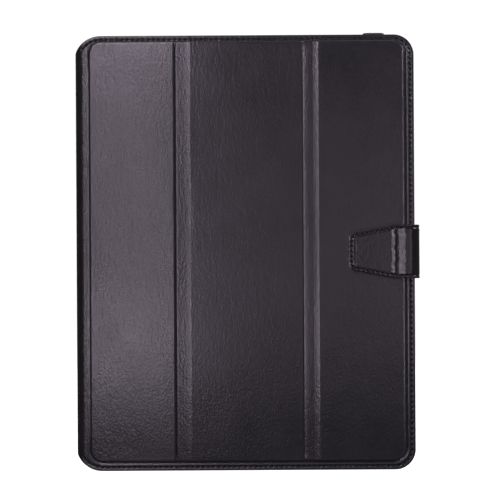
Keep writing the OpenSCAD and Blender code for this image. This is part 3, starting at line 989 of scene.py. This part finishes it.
def flap_edge(u, z):
    """Distance inside the flap's outline."""
    v = np.abs(z - TAB_Z)
    slope = math.atan2(TAB_HALF - FLAP_END_HALF, FLAP_FULL_U - FLAP_U0 - FLAP_R)
    side = (flap_half(np.maximum(u, FLAP_U0 + FLAP_R)) - v) * math.cos(slope)
    cu, cv = FLAP_U0 + FLAP_R, FLAP_END_HALF - FLAP_R
    corner = FLAP_R - np.hypot(u - cu, v - cv)
    e = np.minimum(side, u - FLAP_U0)
    return np.where((u < cu) & (v > cv), corner, e)


def flap_seam():
    """Stitch line: in from the bend, round the free end and back."""
    inset = FLAP_SEAM
    cu, cv = FLAP_U0 + FLAP_R, FLAP_END_HALF - FLAP_R
    r = FLAP_R - inset
    top = TAB_HALF - inset
    upper = np.concatenate([
        np.array([[SEAM_END_U, TAB_Z + top], [FLAP_FULL_U, TAB_Z + top]]),
        arc(cu, TAB_Z + cv, r, 97, 180),
    ])
    lower = upper[::-1] * [1, -1] + [0, 2 * TAB_Z]
    return np.concatenate([upper, lower])


FLAP_STITCHES = seam_marks(flap_seam(), TAB_PITCH)


# Depth of the flap's face along its middle: the stiff area, a ridge, a dip, and the rise to the bend
FLAP_PROFILE = (
    (186.0, 0.55), (187.0, 0.67), (208.5, 0.67), (210.8, 0.12), (211.2, 0.1), (211.8, 0.6), (212.4, 0.9),
    (212.9, 0.95), (213.4, 0.9), (217.9, -0.07), (219.5, -0.19), (220.5, -0.19),
)


def flap_relief(u, z):
    """How far the flap's face lies behind its highest line."""
    e = flap_edge(u, z)
    v = np.abs(z - TAB_Z)
    d = rim_drop(e, 0.45) + 0.27 * (1 - np.clip(e / 1.6, 0, 1)) ** 1.2
    d = d + GROOVE_DEPTH * bell(e - FLAP_SEAM, GROOVE_W)
    d = d + 0.7 * holes(u, z, FLAP_STITCHES[2], 0.6, np.abs(e - FLAP_SEAM) < 1.5)
    wave = u + 0.28 * np.sin(z / 1.9) + 0.2 * np.sin(z / 0.83 + 1)
    soften = (-0.3, -0.15, 0, 0.15, 0.3)
    arch = np.mean([np.interp(wave + k, *zip(*FLAP_PROFILE)) for k in soften], 0)
    middle = smooth(e, FLAP_SEAM + 0.5, FLAP_SEAM + 1.7)
    fade = np.where(u > 212, smooth(e, 0.3, FLAP_SEAM + 1.7), middle)
    border_d = np.interp(u, [212, 219.5], [0.42, -0.19])
    d = d + border_d + (arch - border_d) * fade
    tooled = sum(np.clip((u - k + 0.75) / 0.75, 0, 1) * (1 - smooth(u, k, k + 0.25)) for k in TOOLED_U)
    return d - 0.25 * tooled * smooth(TOOLED_HALF - v, 0, 0.7)


def flap_layer(name, d0, d1, relief):
    """One layer of the flap, between two depths below its face. relief says that it is the one that shows."""
    us = steps([FLAP_U0, FLAP_U0 + 0.6, FLAP_U0 + 8.5, 208.0, FLAP_JOIN_U], [0.1, 0.2, 0.4, 0.22])
    vs = steps([-1, -0.965, -0.7, 0.7, 0.965, 1], [0.006, 0.02, 0.035, 0.02, 0.006])
    gu, gv = np.meshgrid(us, vs, indexing="ij")
    z = TAB_Z + gv * flap_half(gu)
    outer_y, inner_y = np.full_like(gu, FLAP_FACE + d0), np.full_like(gu, FLAP_FACE + d1)
    if relief:
        outer_y = outer_y + flap_relief(gu, z)
    else:
        inner_y = inner_y - rim_drop(flap_edge(gu, z), 0.4)
    outer = np.stack([gu, outer_y, z], -1)
    inner = np.stack([gu, inner_y, z], -1)
    verts, faces = closed_sheet(outer, inner, False)
    obj = make_object(name, verts, faces, TAB_M, "tab_flap")
    e = flap_edge(verts[:, 0], verts[:, 2])
    set_wear(obj, np.clip(0.8 * bell(e - 0.3, 0.4) + 0.8 * bell(verts[:, 0] - 211, 1.2), 0, 1))
    return obj


def bend_path(depth):
    """The tab's section from the flap round the free edge to its side, at a depth below its face."""
    a, b = ROLL[0] - depth, ROLL[1] - depth + 0.25 * (1 - depth / TAB_T)
    cu, cy = TAB_U1 - ROLL[0], FLAP_FACE + ROLL[1]
    turn = np.linspace(-math.asin((cu - FLAP_JOIN_U) / ROLL[0]), math.pi / 2, 26)
    roll = np.stack([cu + a * np.sin(turn), cy - b * np.cos(turn)], 1)
    roll[0, 0] = FLAP_JOIN_U
    side = np.stack([np.full(4, TAB_U1 - depth), np.linspace(cy, SIDE_JOIN_Y, 5)[1:]], 1)
    return np.concatenate([roll, side])


def root_path(depth):
    """The tab's section from its side round to the back cover's edge."""
    r = max(ROOT_R - depth, 0.15)
    cu, cy = TAB_U1 - ROOT_R, BACK_FLANGE - ROOT_R
    side = np.stack([np.full(4, TAB_U1 - depth), np.linspace(ROOT_JOIN_Y, cy, 5)[:-1]], 1)
    turn = np.linspace(0, math.pi / 2, 14)
    roll = np.stack([cu + r * np.cos(turn), cy + r * np.sin(turn)], 1)
    return np.concatenate([side, roll])


def side_path(depth):
    """The tab's flat section beside the case's edge."""
    return np.stack([np.full(9, TAB_U1 - depth), np.linspace(SIDE_JOIN_Y, ROOT_JOIN_Y, 9)], 1)


def blend_tab_root(obj):
    """Bakes a piece's placement into its mesh; the piece is not bent."""
    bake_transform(obj)


def blend_tab_bend(obj):
    """Bakes a piece's placement into its mesh; the piece is not bent."""
    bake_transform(obj)


def tab_sections():
    """The tab's outer and inner leather: the bend at the front, the flat side and the bend at the back."""
    half = TAB_HALF
    marks = [-half, -half + 0.6, -half + 4, half - 4, half - 0.6, half]
    zs = TAB_Z + steps(marks, [0.12, 0.35, 1.4, 0.35, 0.12])

    def groove(outer):
        e = half - np.abs(outer[..., 2] - TAB_Z)
        return GROOVE_DEPTH * bell(e - FLAP_SEAM, GROOVE_W) * smooth(-outer[..., 1], 2.0, 4.5)

    layers = (("face", 0.0, TAB_LEATHER_T, groove), ("backing", TAB_T, TAB_LEATHER_T, None))
    parts = (("bend", bend_path, None), ("side", side_path, "tab_side"), ("root", root_path, None))
    for kind, top, bottom, dent in layers:
        for part, path, body in parts:
            name = f"tab_{part}_{kind}"
            obj = swept(name, path(top), path(bottom), square_ends, zs, TAB_M, body, rim=0.5, dent=dent)
            if part == "bend":
                blend_tab_bend(obj)
            elif part == "root":
                blend_tab_root(obj)
            else:
                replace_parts(obj, "tab_side_leather" if kind == "face" else "tab_side_lining")


def tab():
    """The closing tab, from its end under the back cover to its flap, with its stitches."""
    face = flap_layer("tab_flap_face", 0, TAB_LEATHER_T, True)
    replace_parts(face, "tab_flap_leather")
    backing = flap_layer("tab_flap_backing", TAB_LEATHER_T, TAB_T, False)
    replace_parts(backing, "tab_flap_lining")
    tab_sections()
    lift, lean = 0.12, 0.1
    rigid, bent = [], []
    for (u, z), (du, dz) in zip(*FLAP_STITCHES[:2]):
        if u < FLAP_JOIN_U:
            depth = min(float(flap_relief(np.array([u + 0.01]), np.array([z]))[0]), 0.8)
            row_of = rigid
        else:
            depth = 0.35 + 0.1 * (u - FLAP_JOIN_U)
            row_of = bent
        row_of.append(((u, FLAP_FACE + depth, z), (du, 0, dz), (0, -1, 0), lift, lean))
    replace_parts(thread("tab_flap_thread", rigid, "tab_flap", TAB_STITCH_L), "tab_flap_stitches")
    blend_tab_bend(thread("tab_bend_thread", bent, None, TAB_STITCH_L))


# ---------------------------------------------------------------- button covers


def loft_faces(count, rings):
    """Faces between rings of as many points each."""
    return [
        [k * count + j, k * count + (j + 1) % count, (k + 1) * count + (j + 1) % count, (k + 1) * count + j]
        for k in range(rings - 1)
        for j in range(count)
    ]


def button(name, node, axis, length_axis, proud=0.0):
    """A moulded pad with a rounded shoulder and a shallow ring, on the place of the CAD node."""
    lo, hi = np.array([span(node, k) for k in "uyz"]).T
    centre = (lo + hi) / 2
    long_half = (hi - lo)[length_axis] / 2
    wide_half = (hi[1] - lo[1]) / 2
    top = hi[axis] + proud
    bottom = lo[axis]
    straight = long_half - wide_half
    # Each ring's share of the full outline, and its height
    rings = [
        (0.72, bottom), (0.72, top - 1.75), (1.0, top - 1.7), (1.0, top - 0.5), (0.985, top - 0.28),
        (0.94, top - 0.1), (0.86, top), (0.62, top), (0.56, top - 0.14), (0.42, top - 0.14), (0.36, top),
        (0.2, top + 0.02),
    ]
    turn = np.linspace(0, 2 * math.pi, 48, endpoint=False)
    verts = []
    for share, level in rings:
        grow = wide_half * (share - 1)
        along_l = np.where(np.cos(turn) >= 0, 1, -1) * straight + (wide_half + grow) * np.cos(turn)
        wide = (wide_half + grow) * np.sin(turn)
        ring = np.zeros((len(turn), 3))
        ring[:, length_axis] = centre[length_axis] + along_l
        ring[:, 1] = centre[1] + wide
        ring[:, axis] = level
        verts.append(ring)
    n = len(turn)
    faces = loft_faces(n, len(rings))
    faces += [list(range(n)), [(len(rings) - 1) * n + j for j in range(n)]]
    obj = make_object(name, np.concatenate(verts), faces, BUTTON_M, node.replace("_cover", ""), sharp=60)
    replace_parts(obj, node)


def buttons():
    """The covers over the tablet's three keys."""
    button("power_button_pad", "power_button_cover", 2, 0, 0.5)
    button("volume_up_pad", "volume_up_cover", 0, 2)
    button("volume_down_pad", "volume_down_cover", 0, 2)


# ---------------------------------------------------------------- CAD nodes that stay


def dress_nodes():
    """Materials for the CAD nodes that show or lie inside."""
    kinds = {
        "tray_polymer": TRAY_M, "board": BOARD_M, "steel": STEEL_M, "lining": SUEDE_M, "tab_leather": TAB_M,
        "cover_leather": LEATHER_M, "thread": THREAD_M, "button_skin": BUTTON_M,
    }
    slots = {part["node"]: part["material_slot"] for part in frame["record"]["subparts"]}
    for node, obj in frame["nodes"].items():
        obj.data.materials.clear()
        obj.data.materials.append(kinds[slots[node]])


def tray_pad():
    """The soft sheet on the tray's floor."""
    (u0, u1), (z0, z1) = span("tray_lining", "u"), span("tray_lining", "z")
    y0, y1 = span("tray_lining", "y")
    r = 13.9
    centre = np.array([(u0 + u1) / 2, (z0 + z1) / 2])
    corners = ((u1 - r, z1 - r), (u0 + r, z1 - r), (u0 + r, z0 + r), (u1 - r, z0 + r))
    outline = np.concatenate([arc(cu, cz, r, 90 * k, 90 * k + 90)[::5] for k, (cu, cz) in enumerate(corners)])
    n = len(outline)
    verts = []
    for inset, y in ((0.0, y1), (0.0, y0 + 0.15), (0.12, y0 + 0.03), (0.4, y0)):
        away = outline - centre
        ring = outline - away / np.linalg.norm(away, axis=1, keepdims=True) * inset
        verts.append(np.stack([ring[:, 0], np.full(n, y), ring[:, 1]], 1))
    faces = loft_faces(n, 4) + [list(range(n)), list(range(3 * n, 4 * n))]
    pad = make_object("tray_pad", np.concatenate(verts), faces, SUEDE_M, "back")
    cutter = camera_cutter(SUEDE_M)
    cut(pad, cutter)
    bpy.data.objects.remove(cutter)
    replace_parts(pad, "tray_lining")


# ---------------------------------------------------------------- floor, light and camera


def soft_light(name, place, size, radiance, target=(0, 0, 0), up="Y"):
    """A rectangular softbox that faces a target."""
    light = bpy.data.lights.new(name, "AREA")
    light.shape, light.size, light.size_y = "RECTANGLE", *size
    light.energy = math.pi * size[0] * size[1] * radiance
    obj = bpy.data.objects.new(name, light)
    obj.location = place
    obj.rotation_mode = "QUATERNION"
    obj.rotation_quaternion = (Vector(target) - Vector(place)).to_track_quat("-Z", up)
    obj.visible_camera = False
    bpy.context.scene.collection.objects.link(obj)


def strip_light(name, azimuth, heights, width_deg, radiance, away=0.85):
    """An upright softbox on a circle round the case: azimuth 0 is straight in front, 90 to the right."""
    turn = math.radians(azimuth)
    middle = sum(heights) / 2
    width = 2 * away * math.tan(math.radians(width_deg / 2))
    place = (away * math.sin(turn), -away * math.cos(turn), middle)
    soft_light(name, place, (width, heights[1] - heights[0]), radiance, (0, 0, middle), "Z")


# Upright softboxes in front: azimuth, width in degrees, lowest and highest point in metres, and radiance
STRIPS = (
    (-17.2, 2.5, 0.0, 0.06, 19), (-14.8, 2.5, 0.0, 0.06, 34), (-7.2, 2.5, 0.0, 0.06, 15),
    (-14.8, 2.5, 0.1, 0.4, 12.5), (-12.2, 2.5, 0.1, 0.4, 4),
    (-17.2, 2.5, 0.4, 0.7, 5), (-14.8, 2.5, 0.4, 0.7, 37),
    (3, 6, 0.0, 0.35, 0.8), (16, 8, 0.0, 0.35, 1.1), (26, 12, 0.0, 0.35, 0.9), (77.5, 25, 0.35, 1.1, 8),
)


def pale_floor():
    """A large white floor, which the leather doesn't mirror."""
    mesh = bpy.data.meshes.new("floor")
    half = 3.0
    corners = [(-half, -half, 0), (half, -half, 0), (half, half, 0), (-half, half, 0)]
    mesh.from_pydata(corners, [], [(0, 1, 2, 3)])
    f = Finish("pale floor")
    f.set(
        Base_Color=(0.6, 0.6, 0.6), Roughness=0.9, Specular_IOR_Level=0.0,
        Emission_Color=(1.0, 1.0, 1.0), Emission_Strength=0.97,
    )
    mesh.materials.append(f.material)
    floor = bpy.data.objects.new("floor", mesh)
    bpy.context.scene.collection.objects.link(floor)
    floor.visible_glossy = False
    floor.visible_diffuse = False


def backdrop():
    """White behind the case, and dimmer light on it from all round."""
    world = bpy.data.worlds.new("studio")
    bpy.context.scene.world = world
    world.use_nodes = True
    nodes, links = world.node_tree.nodes, world.node_tree.links
    paper = nodes["Background"]
    paper.inputs["Color"].default_value = (1, 1, 1, 1)
    paper.inputs["Strength"].default_value = 1.05
    fill = nodes.new("ShaderNodeBackground")
    fill.inputs["Color"].default_value = (1, 0.98, 1, 1)
    fill.inputs["Strength"].default_value = 0.1
    ray, mix = nodes.new("ShaderNodeLightPath"), nodes.new("ShaderNodeMixShader")
    links.new(ray.outputs["Is Camera Ray"], mix.inputs[0])
    links.new(fill.outputs[0], mix.inputs[1])
    links.new(paper.outputs[0], mix.inputs[2])
    links.new(mix.outputs[0], nodes["World Output"].inputs["Surface"])


def lights():
    """Softboxes in front, two behind and one overhead."""
    for k, (azimuth, width, low, high, radiance) in enumerate(STRIPS):
        strip_light(f"strip_{k}", azimuth, (low, high), width, radiance)
    strip_light("back_left", -150, (0.1, 1.2), 40, 2.0)
    strip_light("back_right", 140, (0.1, 1.2), 40, 2.0)
    soft_light("top", (0.0, 0.0, 1.3), (1.4, 0.9), 1.0)


def camera():
    """Straight in front, level, at about the middle of the cover, and rolled a little."""
    data = bpy.data.cameras.new("camera")
    data.lens, data.sensor_width = 100.0, 36.0
    field, across_m, height = 0.3302, 0.0015, 0.1458
    roll = math.radians(0.33)
    distance = field * data.lens / data.sensor_width
    obj = bpy.data.objects.new("camera", data)
    obj.location = (across_m, FRONT_FACE * MM - distance, height)
    obj.rotation_euler = (math.pi / 2, roll, 0)
    bpy.context.scene.collection.objects.link(obj)
    bpy.context.scene.camera = obj
    data.clip_start, data.clip_end = 0.05, 20


dress_nodes()
front_skins()
back_skin()
front_linings()
spine()
cover_threads()
tab()
buttons()
tray_pad()
pale_floor()
backdrop()
lights()
camera()

bpy.context.scene.view_settings.view_transform = "Standard"
